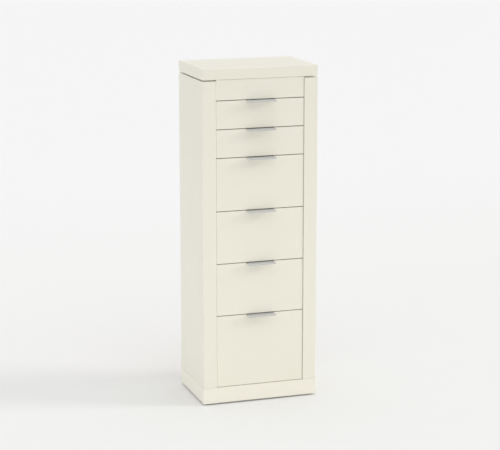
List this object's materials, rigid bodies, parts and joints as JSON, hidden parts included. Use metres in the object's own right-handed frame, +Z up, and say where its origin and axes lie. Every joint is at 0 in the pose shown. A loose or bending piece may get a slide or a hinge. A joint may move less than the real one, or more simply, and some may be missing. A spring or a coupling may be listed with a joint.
{
  "type": "tall chest of drawers",
  "caption": "Tall narrow chest of drawers with inset fronts of graded heights, metal edge pulls, a thick top on a shadow gap and a thick base.",
  "frame": {"origin": "on the floor, at the middle of the footprint, edge pulls included", "axes": "+Z up, +X to the right seen from the front, +Y to the back; the drawers open towards -Y"},
  "size_m": [0.4, 0.294, 1.135],
  "materials": {
    "cream_lacquer": "satin cream lacquer on board",
    "birch_ply": "sanded and sealed birch plywood",
    "hardboard": "bare pressed hardboard",
    "aluminium": "brushed and anodised",
    "white_nylon": "moulded nylon"
  },
  "bodies": {
    "cabinet": {"base_plinth": "cream_lacquer", "top_slab": "cream_lacquer", "left_side_panel": "cream_lacquer", "right_side_panel": "cream_lacquer", "top_spacer": "cream_lacquer", "top_fascia": "cream_lacquer", "rear_top_rail": "cream_lacquer", "back_panel": "hardboard", "front_left_glide": "white_nylon", "front_right_glide": "white_nylon", "rear_left_glide": "white_nylon", "rear_right_glide": "white_nylon", "drawer_1_left_runner": "white_nylon", "drawer_1_right_runner": "white_nylon", "drawer_2_left_runner": "white_nylon", "drawer_2_right_runner": "white_nylon", "drawer_3_left_runner": "white_nylon", "drawer_3_right_runner": "white_nylon", "drawer_4_left_runner": "white_nylon", "drawer_4_right_runner": "white_nylon", "drawer_5_left_runner": "white_nylon", "drawer_5_right_runner": "white_nylon", "drawer_6_left_runner": "white_nylon", "drawer_6_right_runner": "white_nylon"},
    "drawer_1": {"drawer_1_front": "cream_lacquer", "drawer_1_pull": "aluminium", "drawer_1_left_side": "birch_ply", "drawer_1_right_side": "birch_ply", "drawer_1_back": "birch_ply", "drawer_1_bottom": "birch_ply"},
    "drawer_2": {"drawer_2_front": "cream_lacquer", "drawer_2_pull": "aluminium", "drawer_2_left_side": "birch_ply", "drawer_2_right_side": "birch_ply", "drawer_2_back": "birch_ply", "drawer_2_bottom": "birch_ply"},
    "drawer_3": {"drawer_3_front": "cream_lacquer", "drawer_3_pull": "aluminium", "drawer_3_left_side": "birch_ply", "drawer_3_right_side": "birch_ply", "drawer_3_back": "birch_ply", "drawer_3_bottom": "birch_ply"},
    "drawer_4": {"drawer_4_front": "cream_lacquer", "drawer_4_pull": "aluminium", "drawer_4_left_side": "birch_ply", "drawer_4_right_side": "birch_ply", "drawer_4_back": "birch_ply", "drawer_4_bottom": "birch_ply"},
    "drawer_5": {"drawer_5_front": "cream_lacquer", "drawer_5_pull": "aluminium", "drawer_5_left_side": "birch_ply", "drawer_5_right_side": "birch_ply", "drawer_5_back": "birch_ply", "drawer_5_bottom": "birch_ply"},
    "drawer_6": {"drawer_6_front": "cream_lacquer", "drawer_6_pull": "aluminium", "drawer_6_left_side": "birch_ply", "drawer_6_right_side": "birch_ply", "drawer_6_back": "birch_ply", "drawer_6_bottom": "birch_ply"}
  },
  "joints": [
    {"name": "drawer_1_slide", "type": "slide", "parent": "cabinet", "child": "drawer_1", "axis": [0, -1, 0], "range_m": [0, 0.165]},
    {"name": "drawer_2_slide", "type": "slide", "parent": "cabinet", "child": "drawer_2", "axis": [0, -1, 0], "range_m": [0, 0.165]},
    {"name": "drawer_3_slide", "type": "slide", "parent": "cabinet", "child": "drawer_3", "axis": [0, -1, 0], "range_m": [0, 0.165]},
    {"name": "drawer_4_slide", "type": "slide", "parent": "cabinet", "child": "drawer_4", "axis": [0, -1, 0], "range_m": [0, 0.165]},
    {"name": "drawer_5_slide", "type": "slide", "parent": "cabinet", "child": "drawer_5", "axis": [0, -1, 0], "range_m": [0, 0.165]},
    {"name": "drawer_6_slide", "type": "slide", "parent": "cabinet", "child": "drawer_6", "axis": [0, -1, 0], "range_m": [0, 0.165]}
  ]
}
